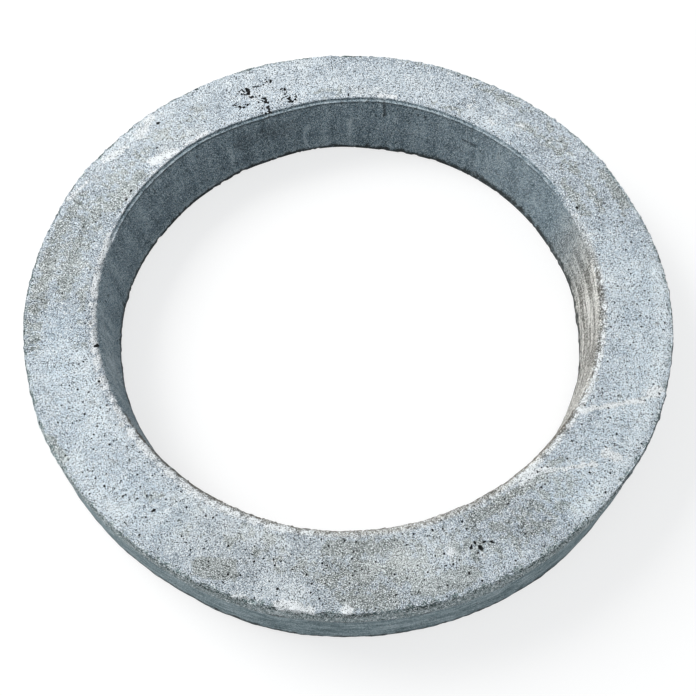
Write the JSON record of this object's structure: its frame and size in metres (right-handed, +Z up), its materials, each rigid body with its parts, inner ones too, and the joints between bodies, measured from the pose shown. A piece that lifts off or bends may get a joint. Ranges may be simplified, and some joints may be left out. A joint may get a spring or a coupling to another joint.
{
  "type": "concrete manhole adjusting ring",
  "caption": "Flat cast concrete ring with a drafted round opening, bedded on a manhole shaft to raise the cover frame to road level.",
  "frame": {"origin": "middle of the bed face, on the axis of the opening", "axes": "+Z up along the axis of the opening, from the bed face to the top face; +X and +Y lie in the bed face"},
  "size_m": [0.8126, 0.8126, 0.095],
  "materials": {
    "concrete": "matte"
  },
  "bodies": {
    "root": {"adjusting_ring": "concrete"}
  },
  "joints": []
}
